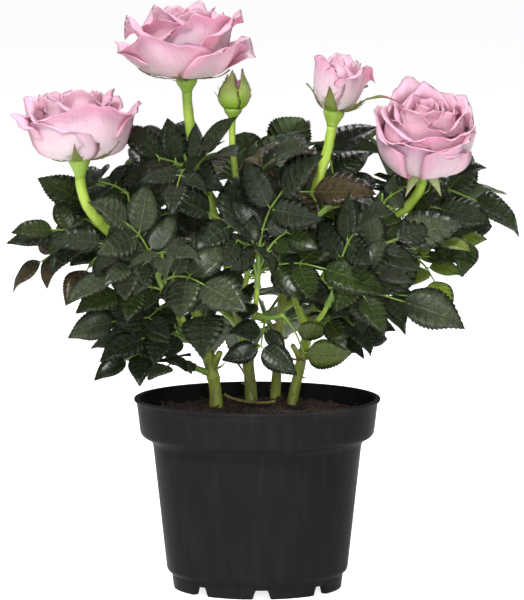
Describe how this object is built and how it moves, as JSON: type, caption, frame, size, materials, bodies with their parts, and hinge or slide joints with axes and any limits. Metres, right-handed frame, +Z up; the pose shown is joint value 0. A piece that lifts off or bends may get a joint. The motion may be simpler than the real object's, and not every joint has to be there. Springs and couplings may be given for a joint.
{
  "type": "potted rose bush",
  "caption": "Small pink rose bush in a round plastic nursery pot, with open blooms, buds, upright canes and leafy sprays; stands on its own pot.",
  "frame": {"origin": "centre of the pot's flat underside", "axes": "+Z up along the pot's axis; -Y is the front, +X to the right of the front view"},
  "size_m": [0.2568, 0.2256, 0.2853],
  "materials": {
    "pot": "matte charcoal moulded plastic",
    "soil": "damp crumbly peat",
    "canes": "smooth green bark with small ridges",
    "stems": "smooth young green bark",
    "leaves": "semi-gloss dark green leaf",
    "petals": "soft matte pink petal",
    "bud": "matte green sepals"
  },
  "bodies": {
    "root": {"pot": "pot", "soil": "soil", "cane_left": "canes", "cane_middle": "canes", "cane_right": "canes", "cane_back": "canes", "stem_left": "stems", "stem_top": "stems", "stem_right": "stems", "stem_half_open": "stems", "stem_green_bud": "stems", "bough_left_outer": "stems", "bough_left_front": "stems", "bough_front": "stems", "bough_right_front": "stems", "bough_right_outer": "stems", "bough_back_left": "stems", "bough_back_right": "stems", "rose_left": "petals", "rose_top": "petals", "rose_right": "petals", "rose_half_open": "petals", "bud_green": "bud", "leaves_left_outer": "leaves", "leaves_left_low": "leaves", "leaves_left_bottom": "leaves", "leaves_left_front": "leaves", "leaves_left_back": "leaves", "leaves_left_top": "leaves", "leaves_front": "leaves", "leaves_front_low": "leaves", "leaves_centre": "leaves", "leaves_top_left": "leaves", "leaves_top_middle": "leaves", "leaves_inner": "leaves", "leaves_top_back": "leaves", "leaves_top_right": "leaves", "leaves_right_front": "leaves", "leaves_right_top": "leaves", "leaves_right_outer": "leaves", "leaves_right_low": "leaves", "leaves_right_bottom": "leaves", "leaves_back_left": "leaves", "leaves_back": "leaves", "leaves_back_low": "leaves", "leaves_back_right": "leaves"}
  },
  "joints": []
}
